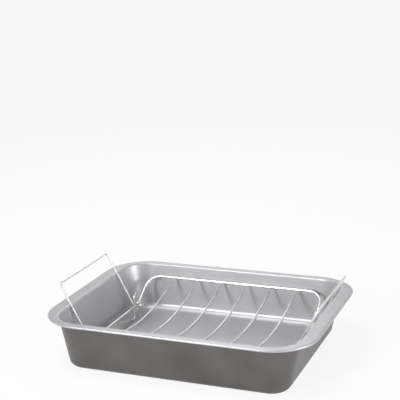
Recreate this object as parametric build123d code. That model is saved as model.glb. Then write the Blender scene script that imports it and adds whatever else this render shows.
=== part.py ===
from build123d import *
from math import asin, atan2, cos, hypot, pi, radians, sin, tan
import os

# A pressed steel roasting pan with a loose wire rack standing in it.
# The rack has bowed crossbars, two wire feet and a drop handle at each end.
# X runs along the pan, Y across it, Z up. The origin is the middle of the pan's underside.
# All lengths are in millimetres.

os.makedirs("parts", exist_ok=True)

# Pan: one piece of steel sheet, drawn deep, with a flat flange and a curled edge
pan_length = 420.0
pan_width = 317.0
pan_height = 77.5
sheet = 0.9
end_flange = 22.5
side_flange = 12.75
end_lean = 16.75
side_lean = 10.75
rim_corner = 67.0
mouth_corner = 42.0
floor_corner = 27.0
floor_fillet = 11.0
shoulder = 5.0
curl_depth = 4.0
curl_width = 4.6
curl_radius = 1.9

# Rack frame: one thick wire, high along the sides and low at the ends, with room to lift it out
frame_wire = 4.0
end_room = 18.85
side_room = 10.75
rail_height = 59.2
end_height = 25.1
slope_run = 51.0
frame_corner = 24.0
frame_bend = 10.0

# Crossbars: bowed wires between the rails
bar_wire = 3.2
bar_count = 6
bar_inset = 44.15
bar_low = 31.8
bar_drop = 1.0

# Feet: one bent wire under each end of the frame
foot_wire = 3.0
foot_inset = 9.4
foot_top = 41.0
foot_bend = 5.0
foot_slope = 13.5
crown_bend = 12.0
tip_bend = 4.0
tip_reach = 12.5
tip_rise = 3.8
weld = 0.3
stand_gap = 0.3

# Handles: one bent wire each, with an eye at both ends that hangs round the frame's end wire
handle_wire = 3.2
handle_reach = 101.0
handle_corner = 5.0
eye_bore = 7.6
eye_turn = 280.0
leg_gap = 1.3
lean_gap = 0.3
hang_gap = 0.3

# Places worked out from the sizes above
mouth_length = pan_length - 2 * end_flange
mouth_width = pan_width - 2 * side_flange
floor_length = mouth_length - 2 * end_lean
floor_width = mouth_width - 2 * side_lean
floor_top = sheet
flange_under = pan_height - sheet
frame_r = frame_wire / 2
foot_r = foot_wire / 2
handle_r = handle_wire / 2
end_x = floor_length / 2 - end_room
rail_y = mouth_width / 2 - side_room
flat_y = rail_y - slope_run
foot_y = flat_y - foot_inset
leg_y = foot_y + foot_r + leg_gap + handle_r
bar_pitch = 2 * (end_x - bar_inset) / (bar_count - 1)
eye_radius = (eye_bore + handle_wire) / 2
eye_z = end_height - (eye_bore - frame_wire) / 2 + hang_gap


def plate(length, width, corner, low, high):
    """A flat slab with rounded corners between two heights."""
    outline = Plane.XY.offset(low) * RectangleRounded(length, width, corner)
    return extrude(outline, amount=high - low)


def tub(low_length, low_width, low_corner, low, high_length, high_width, high_corner, high):
    """A solid with straight sloping walls between two rounded rectangles."""
    bottom = Plane.XY.offset(low) * RectangleRounded(low_length, low_width, low_corner)
    top = Plane.XY.offset(high) * RectangleRounded(high_length, high_width, high_corner)
    return loft([bottom, top], ruled=True)


def edges_at(body, height):
    """The edges of a body that lie flat at one height."""
    return body.edges().filter_by_position(Axis.Z, height, height)


def by_the_mouth(edges):
    """Those of some level edges that run round the pan's mouth, not round its rim."""
    reach_x = mouth_length / 2 + 2 * sheet
    reach_y = mouth_width / 2 + 2 * sheet
    return [edge for edge in edges if abs(edge.center().X) < reach_x and abs(edge.center().Y) < reach_y]


def curled_flange():
    """The flat flange, with its outer edge turned down and back in under itself."""
    block = plate(pan_length, pan_width, rim_corner, pan_height - curl_depth, pan_height)
    low_edges = edges_at(block, pan_height - curl_depth)
    block = fillet(edges_at(block, pan_height) + low_edges, curl_radius)
    hollow = plate(
        pan_length - 2 * sheet,
        pan_width - 2 * sheet,
        rim_corner - sheet,
        pan_height - curl_depth + sheet,
        flange_under,
    )
    hollow_low = edges_at(hollow, pan_height - curl_depth + sheet)
    hollow = fillet(edges_at(hollow, flange_under) + hollow_low, curl_radius - sheet)
    opening = plate(
        pan_length - 2 * curl_width,
        pan_width - 2 * curl_width,
        rim_corner - curl_width,
        pan_height - curl_depth,
        flange_under,
    )
    return block - hollow - opening


def make_pan():
    """The whole pan: floor, sloping walls, rounded shoulder, flange and curl."""
    outside = tub(
        floor_length + 2 * sheet,
        floor_width + 2 * sheet,
        floor_corner + sheet,
        0,
        mouth_length + 2 * sheet,
        mouth_width + 2 * sheet,
        mouth_corner + sheet,
        pan_height,
    )
    outside = fillet(edges_at(outside, 0), floor_fillet + sheet)
    body = outside + curled_flange()
    body = fillet(by_the_mouth(edges_at(body, flange_under)), shoulder - sheet)
    inside = tub(
        floor_length,
        floor_width,
        floor_corner,
        floor_top,
        mouth_length,
        mouth_width,
        mouth_corner,
        pan_height,
    )
    inside = fillet(edges_at(inside, floor_top), floor_fillet)
    body = body - inside
    return fillet(by_the_mouth(edges_at(body, pan_height)), shoulder)


def bend_wire(path, diameter):
    """A round wire along a path."""
    section = Plane(origin=path @ 0, z_dir=path % 0) * Circle(diameter / 2)
    return sweep(section, path=path)


def make_frame():
    """The rack's outer wire: high side rails that drop to a low flat at each end."""
    corners = [
        (0, rail_y, rail_height),
        (end_x, rail_y, rail_height),
        (end_x, flat_y, end_height),
        (end_x, -flat_y, end_height),
        (end_x, -rail_y, rail_height),
        (0, -rail_y, rail_height),
    ]
    path = FilletPolyline(*corners, radius=[frame_corner, frame_bend, frame_bend, frame_corner])
    half = bend_wire(path, frame_wire)
    return half + mirror(half, about=Plane.YZ)


def make_crossbar(index, frame):
    """One bowed bar across the rack, shaped at its ends to sit against the side rails."""
    place = (index - (bar_count - 1) / 2) * bar_pitch
    end_y = rail_y - frame_r / 2
    end_z = rail_height - bar_drop
    path = ThreePointArc((place, -end_y, end_z), (place, 0, bar_low), (place, end_y, end_z))
    return biggest(bend_wire(path, bar_wire) - frame)


def make_foot(side, frame):
    """A wire foot: two low bends on the pan's floor, a crown between them, and tips bent outward."""
    x = side * (end_x + frame_r + foot_r - weld)
    y = foot_y
    slope = radians(foot_slope)
    low = floor_top + stand_gap + foot_r + foot_bend - foot_bend / tan((pi / 2 - slope) / 2)
    crown = low + y * tan(slope)
    tip_z = foot_top + tip_rise
    corners = [
        (x, -y - tip_reach, tip_z),
        (x, -y, foot_top),
        (x, -y, low),
        (x, 0, crown),
        (x, y, low),
        (x, y, foot_top),
        (x, y + tip_reach, tip_z),
    ]
    bends = [tip_bend, foot_bend, crown_bend, foot_bend, tip_bend]
    return bend_wire(FilletPolyline(*corners, radius=bends), foot_wire) - frame


def biggest(body):
    """The largest solid of a body, without the slivers that a cut leaves beyond it."""
    return max(body.solids(), key=lambda solid: solid.volume)


def handle_lean():
    """The leg's angle above level where it leans on the pan's shoulder, seen along Y."""
    flat_x = mouth_length / 2 + shoulder * tan((pi / 2 - atan2(end_lean, pan_height - floor_top)) / 2)
    run = flat_x - end_x
    rise = pan_height - shoulder - eye_z
    return atan2(rise, run) + asin((eye_radius + shoulder + handle_r + lean_gap) / hypot(run, rise))


def make_handle(side):
    """A drop handle: a grip bar, two legs, and an eye at the foot of each leg."""
    lean = handle_lean()
    along = Vector(side * cos(lean), 0, sin(lean))
    outward = Vector(side * sin(lean), 0, -cos(lean))
    eye = Vector(side * end_x, 0, eye_z)
    start = eye + outward * eye_radius
    reach = start + along * handle_reach
    across = Vector(0, leg_y, 0)
    bar_path = FilletPolyline(
        start - across,
        reach - across,
        reach + across,
        start + across,
        radius=handle_corner,
    )
    wires = [bend_wire(bar_path, handle_wire)]
    for end in (-across, across):
        middle = turned(outward, along, radians(eye_turn / 2))
        stop = turned(outward, along, radians(eye_turn))
        curl = ThreePointArc(start + end, eye + middle * eye_radius + end, eye + stop * eye_radius + end)
        wires.append(bend_wire(curl, handle_wire))
    return wires[0] + wires[1] + wires[2]


def turned(outward, along, angle):
    """A direction turned from the leg's outer side down and round the end wire."""
    return outward * cos(angle) - along * sin(angle)


pan = make_pan()
rack_frame = make_frame()
parts = {"pan": pan, "rack_frame": rack_frame}
for index in range(bar_count):
    parts[f"crossbar_{index + 1}"] = make_crossbar(index, rack_frame)
for name, side in (("left", -1), ("right", 1)):
    parts[f"foot_{name}"] = make_foot(side, rack_frame)
    parts[f"handle_{name}"] = make_handle(side)
for name, body in parts.items():
    export_step(body, f"parts/{name}.step")
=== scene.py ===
import bmesh
import bpy
from math import asin, atan, atan2, cos, hypot, pi, radians, sin, sqrt, tan
from mathutils import Euler, Matrix, Vector


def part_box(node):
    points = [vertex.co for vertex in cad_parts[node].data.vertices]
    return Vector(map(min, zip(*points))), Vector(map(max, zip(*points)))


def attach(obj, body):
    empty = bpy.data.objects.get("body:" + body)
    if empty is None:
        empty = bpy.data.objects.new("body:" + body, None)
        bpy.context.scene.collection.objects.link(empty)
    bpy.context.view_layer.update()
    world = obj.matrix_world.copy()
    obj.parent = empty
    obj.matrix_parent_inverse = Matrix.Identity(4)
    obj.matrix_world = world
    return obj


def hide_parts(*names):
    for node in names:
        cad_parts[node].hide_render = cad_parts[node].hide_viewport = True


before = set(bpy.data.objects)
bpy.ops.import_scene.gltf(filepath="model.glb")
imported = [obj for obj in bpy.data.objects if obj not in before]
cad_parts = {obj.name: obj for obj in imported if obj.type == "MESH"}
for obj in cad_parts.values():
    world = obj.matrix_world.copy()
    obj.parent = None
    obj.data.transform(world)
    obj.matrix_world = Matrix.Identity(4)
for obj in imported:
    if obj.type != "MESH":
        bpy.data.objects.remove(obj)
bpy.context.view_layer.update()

# Pan
# One sheet of thin steel, drawn deep in a press, with a flat flange and its edge rolled under.
# The sheet is coated all over: satin grey inside and on the flange; outside it is given a darker warm grey,
# which is painted shade for its shaded outer walls.
sheet = 0.0009
pan_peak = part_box("pan")[1]
rim_half = (pan_peak.x, pan_peak.y)
mouth_half = (0.1875, 0.14575)
floor_half = (0.17075, 0.135)
rim_corner = 0.067
mouth_corner = 0.042
floor_corner = 0.027
floor_bend = 0.011
end_shoulder = 0.004
side_shoulder = 0.0022
bead = 0.002
bead_start = 90
bead_end = -200
corner_steps = 14
side_steps = (20, 28)
bend_steps = 10
wall_steps = 8
flange_steps = 5
roll_steps = 18
floor_shares = (0.1, 0.3, 0.5, 0.7, 0.85)

under_flange = pan_peak.z - sheet
skin_height = under_flange


def ring(half, corner, z):
    """Points round a rounded rectangle, always as many and in the same order."""
    points = []
    for turn in range(4):
        side_x = (1, -1, -1, 1)[turn]
        side_y = (1, 1, -1, -1)[turn]
        middle = Vector((side_x * (half[0] - corner), side_y * (half[1] - corner), z))
        arc = []
        for step in range(corner_steps + 1):
            angle = pi / 2 * (turn + step / corner_steps)
            arc.append(middle + corner * Vector((cos(angle), sin(angle), 0)))
        if points:
            points += between(points[-1], arc[0], side_steps[turn % 2])
        points += arc
    return points + between(points[-1], points[0], side_steps[0])


def between(start, end, steps):
    """Evenly spaced points on a straight run, without its two ends."""
    return [start.lerp(end, step / steps) for step in range(1, steps)]


def wall_half(z, axis, grow, low_bend, top_bend):
    """Half the spacing of two facing walls: a rounded foot, a straight slope and a rounded shoulder."""
    slope = (mouth_half[axis] - floor_half[axis]) / skin_height
    start = floor_half[axis] + grow
    end = mouth_half[axis] + grow
    turn = pi / 2 - atan(slope)
    foot = low_bend * (1 - cos(turn))
    brow = top_bend * (1 - cos(turn))
    if z < foot:
        return start - low_bend * tan(turn / 2) + sqrt(max(0, low_bend**2 - (low_bend - z) ** 2))
    if skin_height - z < brow:
        rise = max(0, skin_height - z)
        return end + top_bend * tan(turn / 2) - sqrt(max(0, top_bend**2 - (top_bend - rise) ** 2))
    return start + slope * z


def skin_rings(grow, low_bend, top_bends, lift):
    """The rings of one side of the sheet, from the floor's edge up to the flange."""
    quarter = [pi / 2 * step / bend_steps for step in range(bend_steps + 1)]
    foot = [low_bend * (1 - cos(angle)) for angle in quarter]
    brow = [skin_height - max(top_bends) * (1 - cos(angle)) for angle in reversed(quarter)]
    rise = brow[0] - foot[-1]
    slope = [foot[-1] + rise * step / wall_steps for step in range(1, wall_steps)]
    rings = []
    for z in foot + slope + brow:
        half = [wall_half(z, axis, grow, low_bend, top_bends[axis]) for axis in (0, 1)]
        plain = [wall_half(z, axis, grow, 0, 0) for axis in (0, 1)]
        share = z / skin_height
        corner = floor_corner * (1 - share) + mouth_corner * share + grow
        corner += (half[0] - plain[0] + half[1] - plain[1]) / 2
        rings.append((half, corner, z + lift))
    return rings


def shrunk(ring_sizes, shares):
    """Smaller rings of the same shape inside a flat one."""
    half, corner, z = ring_sizes
    return [((half[0] * share, half[1] * share), corner * share, z) for share in shares]


def flange_rings(inner, z):
    """Rings across the flat flange, from the shoulder to the rolled edge."""
    found = []
    for step in range(1, flange_steps):
        share = step / flange_steps
        half = [inner[0][axis] * (1 - share) + (rim_half[axis] - bead) * share for axis in (0, 1)]
        found.append((half, inner[1] * (1 - share) + (rim_corner - bead) * share, z))
    return found


def bead_ring(angle, radius):
    """One ring of the rolled edge, at an angle round the roll."""
    inset = bead - radius * cos(radians(angle))
    half = [rim_half[axis] - inset for axis in (0, 1)]
    return half, rim_corner - inset, pan_peak.z - bead + radius * sin(radians(angle))


def loft(name, rings):
    """One closed skin through rings that all have as many points, closed at both ends."""
    shape = bmesh.new()
    loops = [[shape.verts.new(point) for point in ring(*sizes)] for sizes in rings]
    for low, high in zip(loops, loops[1:]):
        for step in range(len(low)):
            after = (step + 1) % len(low)
            shape.faces.new((low[step], low[after], high[after], high[step]))
    for loop in (loops[0], loops[-1]):
        middle = shape.verts.new(sum((vert.co for vert in loop), Vector()) / len(loop))
        for step in range(len(loop)):
            shape.faces.new((loop[step], loop[(step + 1) % len(loop)], middle))
    bmesh.ops.recalc_face_normals(shape, faces=shape.faces)
    mesh = bpy.data.meshes.new(name)
    shape.to_mesh(mesh)
    shape.free()
    mesh.shade_smooth()
    return mesh


def put(tree, kind, inputs=None, **settings):
    """Adds a node, with its settings, and with a value or another node's socket for each input."""
    made = tree.nodes.new(kind)
    for name, value in settings.items():
        setattr(made, name, value)
    for name, value in (inputs or {}).items():
        if isinstance(value, bpy.types.NodeSocket):
            tree.links.new(value, made.inputs[name])
        else:
            made.inputs[name].default_value = value
    return made


mix_first = 6
mix_second = 7
mix_result = 2


def mixed(tree, factor, first, second, blend="MIX"):
    """The socket of a colour mix."""
    inputs = {0: factor, mix_first: first, mix_second: second}
    made = put(tree, "ShaderNodeMix", inputs, data_type="RGBA", blend_type=blend)
    return made.outputs[mix_result]


def grain(tree, place, spread, detail=2.0):
    """A noise whose patches are as wide as the three lengths of spread, from 0 to 1."""
    sized = put(tree, "ShaderNodeMapping", {"Vector": place, "Scale": [1 / length for length in spread]})
    noise = put(tree, "ShaderNodeTexNoise", {"Vector": sized.outputs[0], "Scale": 1.0, "Detail": detail})
    return noise.outputs[0]


def ranged(tree, value, low, high, start=0.3, end=0.7):
    """A value spread from low to high as it goes from start to end."""
    inputs = {"Value": value, "From Min": start, "From Max": end, "To Min": low, "To Max": high}
    return put(tree, "ShaderNodeMapRange", inputs).outputs[0]


inside_colour = (0.465, 0.463, 0.476, 1)
inside_dim = (0.43, 0.428, 0.441, 1)
# Outside colours: much darker than the inside's, as painted shade for the outer walls, which stand in
# shade.
outside_painted_shade = (0.135, 0.130, 0.127, 1)
outside_painted_shade_dim = (0.10, 0.092, 0.089, 1)
coat_metal = 0.5
coat_cloud = (0.05, 0.05, 0.05)
coat_speck = (0.0006, 0.0006, 0.0006)
draw_mark = (0.004, 0.004, 0.09)
press_wave = (0.07, 0.07, 0.05)
coat_rough = (0.32, 0.40)
speck_tone = (0.93, 1.07)
wave_depth = 0.0008
mark_depth = 0.0003
speck_depth = 0.0001


def coated_steel():
    """Satin coating with fine metal specks, faint upright draw marks and a soft waviness; the outside's
    darker colour is painted shade.
    """
    material = bpy.data.materials.new("coated_steel")
    material.use_nodes = True
    tree = material.node_tree
    tree.nodes.clear()
    place = put(tree, "ShaderNodeTexCoord").outputs["Object"]
    outside = put(tree, "ShaderNodeAttribute", attribute_name="outside").outputs["Fac"]
    cloud = ranged(tree, grain(tree, place, coat_cloud, 3.0), 0, 1)
    speck = ranged(tree, grain(tree, place, coat_speck), *speck_tone)
    marks = grain(tree, place, draw_mark, 3.0)
    inner = mixed(tree, cloud, inside_colour, inside_dim)
    # The outer surfaces take the darker colours, which are painted shade for the shaded outer walls.
    outer = mixed(tree, cloud, outside_painted_shade, outside_painted_shade_dim)
    both = mixed(tree, outside, inner, outer)
    flecks = put(tree, "ShaderNodeCombineColor", {0: speck, 1: speck, 2: speck})
    flecked = mixed(tree, 1.0, both, flecks.outputs[0], "MULTIPLY")
    streaked = ranged(tree, marks, *coat_rough)
    wavy = put(tree, "ShaderNodeBump", {
        "Height": grain(tree, place, press_wave, 0.0),
        "Strength": 0.5,
        "Distance": wave_depth,
    })
    marked = put(tree, "ShaderNodeBump", {
        "Height": marks,
        "Strength": 0.15,
        "Distance": mark_depth,
        "Normal": wavy.outputs[0],
    })
    pebbled = put(tree, "ShaderNodeBump", {
        "Height": grain(tree, place, coat_speck),
        "Strength": 0.12,
        "Distance": speck_depth,
        "Normal": marked.outputs[0],
    })
    shader = put(tree, "ShaderNodeBsdfPrincipled", {
        "Base Color": flecked,
        "Metallic": coat_metal,
        "Roughness": streaked,
        "Normal": pebbled.outputs[0],
    })
    put(tree, "ShaderNodeOutputMaterial", {"Surface": shader.outputs[0]})
    return material


inner_skin = skin_rings(0, floor_bend, (end_shoulder, side_shoulder), sheet)
outer_skin = skin_rings(sheet, floor_bend + sheet, (end_shoulder - sheet, side_shoulder - sheet), 0)
roll = [bead_start + (bead_end - bead_start) * step / roll_steps for step in range(roll_steps + 1)]
upper_rings = shrunk(inner_skin[0], floor_shares) + inner_skin + flange_rings(inner_skin[-1], pan_peak.z)
upper_rings += [bead_ring(angle, bead) for angle in roll]
lower_rings = [bead_ring(angle, bead - sheet) for angle in reversed(roll)]
lower_rings += reversed(flange_rings(outer_skin[-1], under_flange))
lower_rings += reversed(outer_skin)
lower_rings += reversed(shrunk(outer_skin[0], floor_shares))

pan = bpy.data.objects.new("roasting_pan", loft("roasting_pan", upper_rings + lower_rings))
bpy.context.scene.collection.objects.link(pan)
points_per_ring = len(ring(*inner_skin[0]))
# Marks the outer points, which take the darker colours of painted shade.
outside = pan.data.attributes.new("outside", "FLOAT", "POINT")
first_outside = (len(upper_rings) - roll_steps // 3) * points_per_ring
last_outside = (len(upper_rings) + len(lower_rings)) * points_per_ring
for index in range(first_outside, last_outside):
    outside.data[index].value = 1
outside.data[last_outside + 1].value = 1
pan.data.materials.append(coated_steel())
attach(pan, "pan")
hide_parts("pan")

# Rack frame
# One thick plated wire bent into a closed loop: high rails along the sides, low flats at the ends.
# It is made by rounding the corners of a plain line and putting a round wire along it.
frame_wire = 0.004
frame_corner = 0.024
frame_bend = 0.010
slope_run = 0.051
end_height = 0.0251
frame_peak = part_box("rack_frame")[1]
rail_z = frame_peak.z - frame_wire / 2
rail_y = frame_peak.y - frame_wire / 2
end_x = frame_peak.x - frame_wire / 2
flat_y = rail_y - slope_run
wire_sides = 20
corner_count = 14


def node_group(name, sizes):
    """An empty geometry tree with a geometry in and out and named inputs, and its two end nodes."""
    tree = bpy.data.node_groups.new(name, "GeometryNodeTree")
    face = tree.interface
    face.new_socket("Geometry", in_out="INPUT", socket_type="NodeSocketGeometry")
    face.new_socket("Geometry", in_out="OUTPUT", socket_type="NodeSocketGeometry")
    for title, kind in sizes.items():
        face.new_socket(title, in_out="INPUT", socket_type="NodeSocket" + kind)
    return tree, put(tree, "NodeGroupInput"), put(tree, "NodeGroupOutput")


def round_wire(tree, line, radius, sides, tip, share):
    """A wire along a curve, with each point's place in the wire's own length kept for its finish."""
    travel = put(tree, "GeometryNodeSplineParameter")
    length = put(tree, "GeometryNodeSplineLength")
    kept_line = put(tree, "GeometryNodeCaptureAttribute", {"Geometry": line})
    kept_line.capture_items.new("FLOAT", "travel")
    tree.links.new(travel.outputs["Length"], kept_line.inputs[1])
    circle = put(tree, "GeometryNodeCurvePrimitiveCircle", {"Resolution": sides, "Radius": radius})
    kept_circle = put(tree, "GeometryNodeCaptureAttribute", {"Geometry": circle.outputs["Curve"]})
    kept_circle.capture_items.new("VECTOR", "girth")
    tree.links.new(put(tree, "GeometryNodeInputPosition").outputs[0], kept_circle.inputs[1])
    left = put(tree, "ShaderNodeMath", {
        0: length.outputs["Length"],
        1: travel.outputs["Length"],
    }, operation="SUBTRACT")
    nearest = put(tree, "ShaderNodeMath", {
        0: travel.outputs["Length"],
        1: left.outputs[0],
    }, operation="MINIMUM")
    girth = put(tree, "ShaderNodeMapRange", {
        "Value": nearest.outputs[0],
        "From Max": tip,
        "To Min": share,
        "To Max": 1.0,
    })
    wire = put(tree, "GeometryNodeCurveToMesh", {
        "Curve": kept_line.outputs[0],
        "Profile Curve": kept_circle.outputs[0],
        "Scale": girth.outputs[0],
        "Fill Caps": True,
    })
    along = put(tree, "ShaderNodeCombineXYZ", {"Z": kept_line.outputs[1]})
    place = put(tree, "ShaderNodeVectorMath", {
        0: kept_circle.outputs[1],
        1: along.outputs[0],
    }, operation="ADD")
    marked = put(tree, "GeometryNodeStoreNamedAttribute", {
        "Geometry": wire.outputs[0],
        "Name": "drawn",
        "Value": place.outputs[0],
    }, data_type="FLOAT_VECTOR", domain="POINT")
    return put(tree, "GeometryNodeSetShadeSmooth", {"Geometry": marked.outputs[0]}).outputs[0]


def finished(tree, shape, finish, end):
    """The tree's last steps: real geometry, then its material."""
    real = put(tree, "GeometryNodeRealizeInstances", {"Geometry": shape})
    dressed = put(tree, "GeometryNodeSetMaterial", {"Geometry": real.outputs[0], "Material": finish})
    tree.links.new(dressed.outputs[0], end.inputs[0])


def bent_wire_tree():
    """Rounds each corner of a line by its own bend radius and runs a round wire along it."""
    sizes = {
        "Wire radius": "Float",
        "Sides": "Int",
        "Bend steps": "Int",
        "Tip length": "Float",
        "Tip share": "Float",
        "Finish": "Material",
    }
    tree, start, end = node_group("bent_wire", sizes)
    line = put(tree, "GeometryNodeMeshToCurve", {"Mesh": start.outputs["Geometry"]})
    bend = put(tree, "GeometryNodeInputNamedAttribute", {"Name": "bend"}, data_type="FLOAT")
    rounded = put(tree, "GeometryNodeFilletCurve", {
        "Curve": line.outputs[0],
        "Count": start.outputs["Bend steps"],
        "Radius": bend.outputs["Attribute"],
    }, mode="POLY")
    radius, sides = start.outputs["Wire radius"], start.outputs["Sides"]
    tip, share = start.outputs["Tip length"], start.outputs["Tip share"]
    wire = round_wire(tree, rounded.outputs[0], radius, sides, tip, share)
    finished(tree, wire, start.outputs["Finish"], end)
    return tree


def grown(name, host_mesh, tree, values):
    """An object with the plain mesh that a geometry tree makes of a host mesh."""
    piece = bpy.data.objects.new(name, host_mesh)
    bpy.context.scene.collection.objects.link(piece)
    modifier = piece.modifiers.new(name, "NODES")
    modifier.node_group = tree
    for item in tree.interface.items_tree:
        if item.in_out == "INPUT" and item.name in values:
            modifier[item.identifier] = values[item.name]
    shown = piece.evaluated_get(bpy.context.evaluated_depsgraph_get())
    made = bpy.data.meshes.new_from_object(shown)
    piece.modifiers.remove(modifier)
    piece.data = made
    made.name = name
    return piece


def wire_line(corners, closed=False):
    """A line of straight edges; each corner is a place and the radius it is bent to."""
    mesh = bpy.data.meshes.new("line")
    edges = [(index, index + 1) for index in range(len(corners) - 1)]
    if closed:
        edges.append((len(corners) - 1, 0))
    mesh.from_pydata([place for place, bend in corners], edges, [])
    bends = mesh.attributes.new("bend", "FLOAT", "POINT")
    for index, (place, bend) in enumerate(corners):
        bends.data[index].value = bend
    return mesh


plate_colour = (0.88, 0.88, 0.875, 1)
plate_dim = (0.72, 0.715, 0.70, 1)
draw_line = (0.0004, 0.0004, 0.012)
plate_cloud = (0.02, 0.02, 0.02)
plate_metal = 0.9
plate_rough = (0.20, 0.30)
line_depth = 0.00005


def plated_wire():
    """Bright plated steel wire, with faint lines from the drawing die along it."""
    material = bpy.data.materials.new("plated_wire")
    material.use_nodes = True
    tree = material.node_tree
    tree.nodes.clear()
    along = put(tree, "ShaderNodeAttribute", attribute_name="drawn").outputs["Vector"]
    place = put(tree, "ShaderNodeTexCoord").outputs["Object"]
    lines = grain(tree, along, draw_line, 2.0)
    cloud = grain(tree, place, plate_cloud, 3.0)
    colour = mixed(tree, ranged(tree, cloud, 0, 0.8), plate_colour, plate_dim)
    rough = ranged(tree, lines, *plate_rough)
    bump = put(tree, "ShaderNodeBump", {"Height": lines, "Strength": 0.2, "Distance": line_depth})
    shader = put(tree, "ShaderNodeBsdfPrincipled", {
        "Base Color": colour,
        "Metallic": plate_metal,
        "Roughness": rough,
        "Normal": bump.outputs[0],
    })
    put(tree, "ShaderNodeOutputMaterial", {"Surface": shader.outputs[0]})
    return material


bent_wire = bent_wire_tree()
bright_plate = plated_wire()
frame_corners = []
for side in (1, -1):
    frame_corners += [
        ((side * end_x, -side * rail_y, rail_z), frame_corner),
        ((side * end_x, -side * flat_y, end_height), frame_bend),
        ((side * end_x, side * flat_y, end_height), frame_bend),
        ((side * end_x, side * rail_y, rail_z), frame_corner),
    ]
rack_frame = grown("rack_frame_wire", wire_line(frame_corners, closed=True), bent_wire, {
    "Wire radius": frame_wire / 2,
    "Sides": wire_sides,
    "Bend steps": corner_count,
    "Tip length": frame_wire,
    "Tip share": 1.0,
    "Finish": bright_plate,
})
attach(rack_frame, "rack")
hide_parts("rack_frame")

# Crossbars
# Six thinner wires, bowed down in the middle so that the roast lies in them.
# They are cut to one length and welded between the rails, evenly spaced.
bar_names = sorted(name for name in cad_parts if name.startswith("crossbar_"))
first_foot, first_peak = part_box(bar_names[0])
last_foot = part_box(bar_names[-1])[0]
bar_wire = first_peak.x - first_foot.x
bar_pitch = (last_foot.x - first_foot.x) / (len(bar_names) - 1)
bar_low = first_foot.z + bar_wire / 2
bar_drop = 0.001
bar_end = rail_y - frame_wire / 4
bar_steps = 72


def crossbar_tree():
    """One bowed bar, repeated along a line with an even spacing."""
    sizes = {
        "Wire radius": "Float",
        "Sides": "Int",
        "Arc steps": "Int",
        "Half span": "Float",
        "End height": "Float",
        "Low height": "Float",
        "Count": "Int",
        "First place": "Float",
        "Spacing": "Float",
        "Finish": "Material",
    }
    tree, start, end = node_group("bowed_bars", sizes)
    span, height = start.outputs["Half span"], start.outputs["End height"]
    radius, sides = start.outputs["Wire radius"], start.outputs["Sides"]
    near = put(tree, "ShaderNodeMath", {0: span, 1: -1.0}, operation="MULTIPLY")
    near_end = put(tree, "ShaderNodeCombineXYZ", {"Y": near.outputs[0], "Z": height})
    middle = put(tree, "ShaderNodeCombineXYZ", {"Z": start.outputs["Low height"]})
    far_end = put(tree, "ShaderNodeCombineXYZ", {"Y": span, "Z": height})
    arc = put(tree, "GeometryNodeCurveArc", {
        "Resolution": start.outputs["Arc steps"],
        "Start": near_end.outputs[0],
        "Middle": middle.outputs[0],
        "End": far_end.outputs[0],
    }, mode="POINTS")
    bar = round_wire(tree, arc.outputs["Curve"], radius, sides, radius, 1.0)
    first = put(tree, "ShaderNodeCombineXYZ", {"X": start.outputs["First place"]})
    step = put(tree, "ShaderNodeCombineXYZ", {"X": start.outputs["Spacing"]})
    places = put(tree, "GeometryNodeMeshLine", {
        "Count": start.outputs["Count"],
        "Start Location": first.outputs[0],
        "Offset": step.outputs[0],
    })
    bars = put(tree, "GeometryNodeInstanceOnPoints", {"Points": places.outputs[0], "Instance": bar})
    finished(tree, bars.outputs[0], start.outputs["Finish"], end)
    return tree


crossbars = grown("crossbars", bpy.data.meshes.new("crossbars"), crossbar_tree(), {
    "Wire radius": bar_wire / 2,
    "Sides": wire_sides,
    "Arc steps": bar_steps,
    "Half span": bar_end,
    "End height": rail_z - bar_drop,
    "Low height": bar_low,
    "Count": len(bar_names),
    "First place": (first_foot.x + first_peak.x) / 2,
    "Spacing": bar_pitch,
    "Finish": bright_plate,
})
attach(crossbars, "rack")
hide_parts(*bar_names)

# Feet
# One thin wire under each end: two low bends stand on the pan's floor, with a crown between them.
# It is welded against the outer side of the end wire, and its tips are bent outward.
foot_wire = 0.003
foot_inset = 0.0094
foot_top = 0.041
foot_bend = 0.005
foot_slope = radians(13.5)
crown_bend = 0.012
tip_bend = 0.004
tip_reach = 0.0125
tip_rise = 0.0038
tip_round = 0.0004
tip_share = 0.7
foot_y = flat_y - foot_inset


def cut_ends(corners):
    """The same line with a point just inside each end, where the cut wire's edge is taken off."""
    places = [Vector(place) for place, bend in corners]
    first = places[0] + (places[1] - places[0]).normalized() * tip_round
    last = places[-1] + (places[-2] - places[-1]).normalized() * tip_round
    return [corners[0], (first, 0)] + corners[1:-1] + [(last, 0), corners[-1]]


for side_name in ("left", "right"):
    foot_low, foot_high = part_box("foot_" + side_name)
    foot_x = (foot_low.x + foot_high.x) / 2
    low_z = foot_low.z + foot_wire / 2 + foot_bend - foot_bend / tan((pi / 2 - foot_slope) / 2)
    tip_z = foot_top + tip_rise
    half_line = [
        ((foot_x, foot_y + tip_reach, tip_z), 0),
        ((foot_x, foot_y, foot_top), tip_bend),
        ((foot_x, foot_y, low_z), foot_bend),
    ]
    crown = [((foot_x, 0, low_z + foot_y * tan(foot_slope)), crown_bend)]
    other_half = [((x, -y, z), bend) for (x, y, z), bend in reversed(half_line)]
    foot = grown("foot_wire_" + side_name, wire_line(cut_ends(half_line + crown + other_half)), bent_wire, {
        "Wire radius": foot_wire / 2,
        "Sides": wire_sides,
        "Bend steps": corner_count,
        "Tip length": tip_round,
        "Tip share": tip_share,
        "Finish": bright_plate,
    })
    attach(foot, "rack")
    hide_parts("foot_" + side_name)

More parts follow.
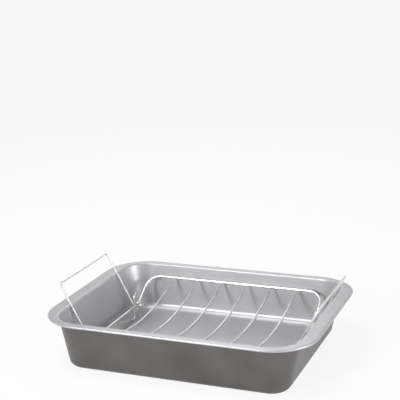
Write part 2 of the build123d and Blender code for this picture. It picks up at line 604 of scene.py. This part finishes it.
# Handles
# One bent wire each: a straight grip, two legs and an eye curled round the frame's end wire.
# They hang loose, so that they swing in over the rack or lean out on the pan's rim.
# The lean is that of legs against a lip bent a little wider than the sheet's own shoulder.
handle_wire = 0.0032
handle_reach = 0.101
handle_corner = 0.005
eye_bore = 0.0076
eye_turn = 280
eye_steps = 42
leg_gap = 0.0013
lean_gap = 0.0003
hang_gap = 0.0003
lip_bend = 0.005
leg_y = foot_y + foot_wire / 2 + leg_gap + handle_wire / 2
eye_radius = (eye_bore + handle_wire) / 2
eye_z = end_height - (eye_bore - frame_wire) / 2 + hang_gap
wall_lean = atan((mouth_half[0] - floor_half[0]) / skin_height)
lip_run = mouth_half[0] + lip_bend * tan((pi / 2 - wall_lean) / 2) - end_x
lip_rise = pan_peak.z - lip_bend - eye_z
leg_stand = eye_radius + lip_bend + handle_wire / 2 + lean_gap
lean = atan2(lip_rise, lip_run) + asin(leg_stand / hypot(lip_run, lip_rise))

for side_name, side in (("left", -1), ("right", 1)):
    upward = Vector((side * cos(lean), 0, sin(lean)))
    outward = Vector((side * sin(lean), 0, -cos(lean)))
    eye = Vector((side * end_x, leg_y, eye_z))
    curl = []
    for step in range(eye_steps, 0, -1):
        angle = radians(eye_turn * step / eye_steps)
        curl.append((eye + eye_radius * (outward * cos(angle) - upward * sin(angle)), 0))
    leg_foot = eye + outward * eye_radius
    half_line = curl + [(leg_foot, 0), (leg_foot + upward * handle_reach, handle_corner)]
    other_half = [(place * Vector((1, -1, 1)), bend) for place, bend in reversed(half_line)]
    handle = grown("handle_wire_" + side_name, wire_line(cut_ends(half_line + other_half)), bent_wire, {
        "Wire radius": handle_wire / 2,
        "Sides": wire_sides,
        "Bend steps": corner_count,
        "Tip length": tip_round,
        "Tip share": tip_share,
        "Finish": bright_plate,
    })
    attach(handle, side_name + "_handle")
    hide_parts("handle_" + side_name)

# Welds
# Where two wires meet they are melted together under pressure, which leaves a small round swelling.
# The crossbars' ends sit on the rails, and each foot crosses an end wire twice.
weld_length = 0.0042
weld_width = 0.0036
weld_height = 0.0034
weld_segments = 20
weld_rings = 12


def weld_tree():
    """A small swelling at each point of a mesh."""
    sizes = {"Size": "Vector", "Segments": "Int", "Rings": "Int", "Finish": "Material"}
    tree, start, end = node_group("welds", sizes)
    ball = put(tree, "GeometryNodeMeshUVSphere", {
        "Segments": start.outputs["Segments"],
        "Rings": start.outputs["Rings"],
        "Radius": 0.5,
    })
    smooth = put(tree, "GeometryNodeSetShadeSmooth", {"Geometry": ball.outputs[0]})
    beads = put(tree, "GeometryNodeInstanceOnPoints", {
        "Points": start.outputs["Geometry"],
        "Instance": smooth.outputs[0],
        "Scale": start.outputs["Size"],
    })
    finished(tree, beads.outputs[0], start.outputs["Finish"], end)
    return tree


weld_places = []
for name in bar_names:
    bar_foot, bar_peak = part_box(name)
    for side in (-1, 1):
        bar_x = (bar_foot.x + bar_peak.x) / 2
        weld_places.append((bar_x, side * (rail_y - frame_wire / 2), rail_z - bar_drop))
for side in (-1, 1):
    for end in (-1, 1):
        weld_places.append((side * (end_x + frame_wire / 2), end * foot_y, end_height))
weld_points = bpy.data.meshes.new("weld_points")
weld_points.from_pydata(weld_places, [], [])
welds = grown("weld_spots", weld_points, weld_tree(), {
    "Size": (weld_width, weld_length, weld_height),
    "Segments": weld_segments,
    "Rings": weld_rings,
    "Finish": bright_plate,
})
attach(welds, "rack")

# Floor and light
# The pan stands on a plain white surface in a pale room, with a soft lamp above it and on three sides.
# Where the camera sees the surface past the pan, it sees plain white; a reflection sees a little less.
floor_drop = 0.0003
floor_size = 60.0
floor_shine = 0.88
floor_mirror = 0.75
floor_colour = (0.8, 0.8, 0.8, 1)
white = (1, 1, 1, 1)
room_colour = (0.42, 0.42, 0.43, 1)
horizon_low = 0.1
horizon_high = 0.45

floor_mesh = bpy.data.meshes.new("floor")
reach = floor_size / 2
floor_corners = [(-reach, -reach), (reach, -reach), (reach, reach), (-reach, reach)]
floor_mesh.from_pydata([(x, y, -floor_drop) for x, y in floor_corners], [], [(0, 1, 2, 3)])
floor = bpy.data.objects.new("floor", floor_mesh)
bpy.context.scene.collection.objects.link(floor)
floor_paint = bpy.data.materials.new("white_floor")
floor_paint.use_nodes = True
floor_tree = floor_paint.node_tree
floor_tree.nodes.clear()
path = put(floor_tree, "ShaderNodeLightPath")
mirrored = put(floor_tree, "ShaderNodeMath", {
    0: path.outputs["Is Glossy Ray"],
    1: floor_mirror,
}, operation="MULTIPLY")
either = put(floor_tree, "ShaderNodeMath", {
    0: path.outputs["Is Camera Ray"],
    1: mirrored.outputs[0],
}, operation="MAXIMUM")
seen = put(floor_tree, "ShaderNodeMath", {
    0: either.outputs[0],
    1: path.outputs["Is Transmission Ray"],
}, operation="MAXIMUM")
matt = put(floor_tree, "ShaderNodeBsdfDiffuse", {"Color": floor_colour})
glow = put(floor_tree, "ShaderNodeEmission", {"Color": white, "Strength": 1.0})
share = put(floor_tree, "ShaderNodeMath", {0: seen.outputs[0], 1: floor_shine}, operation="MULTIPLY")
mixed_floor = put(floor_tree, "ShaderNodeMixShader", {
    0: share.outputs[0],
    1: matt.outputs[0],
    2: glow.outputs[0],
})
put(floor_tree, "ShaderNodeOutputMaterial", {"Surface": mixed_floor.outputs[0]})
floor_mesh.materials.append(floor_paint)

room = bpy.data.worlds.new("pale_room")
bpy.context.scene.world = room
room.use_nodes = True
room_tree = room.node_tree
room_tree.nodes.clear()
direction = put(room_tree, "ShaderNodeTexCoord").outputs["Generated"]
height = put(room_tree, "ShaderNodeSeparateXYZ", {0: direction}).outputs["Z"]
walls = mixed(room_tree, ranged(room_tree, height, 0, 1, horizon_low, horizon_high), white, room_colour)
backdrop = put(room_tree, "ShaderNodeBackground", {"Color": walls})
put(room_tree, "ShaderNodeOutputWorld", {"Surface": backdrop.outputs[0]})


def soft_lamp(name, place, size, power):
    """A square lamp that points at the pan."""
    data = bpy.data.lights.new(name, "AREA")
    data.size = size
    data.energy = power
    lamp = bpy.data.objects.new(name, data)
    lamp.location = place
    lamp.rotation_euler = (-Vector(place)).to_track_quat("-Z", "Y").to_euler()
    bpy.context.scene.collection.objects.link(lamp)


soft_lamp("lamp_above", (-0.4, -0.3, 1.6), 1.0, 12)
soft_lamp("lamp_front", (-0.62, -1.60, 0.72), 0.42, 17)
soft_lamp("lamp_side", (1.9, -0.3, 0.35), 0.9, 25)
soft_lamp("lamp_rear", (-0.55, 1.45, 1.1), 0.7, 3.2)

# Camera
# It stands in front of the pan, a little to the right, looks down on it and is tilted a little.
camera_place = Vector((0.568666, -1.383382, 0.624320))
camera_yaw = -0.3897
camera_dip = 0.2539
camera_roll = -0.0340
focal_pixels = 1033.31
image_pixels = 400
camera_data = bpy.data.cameras.new("camera")
camera_data.sensor_width = 36
camera_data.lens = camera_data.sensor_width * focal_pixels / image_pixels
camera = bpy.data.objects.new("camera", camera_data)
level = Euler((pi / 2 - camera_dip, 0, -camera_yaw)).to_matrix()
turned = level @ Matrix.Rotation(camera_roll, 3, "Z")
camera.matrix_world = Matrix.Translation(camera_place) @ turned.to_4x4()
bpy.context.scene.collection.objects.link(camera)
bpy.context.scene.camera = camera
bpy.context.scene.view_settings.view_transform = "Standard"
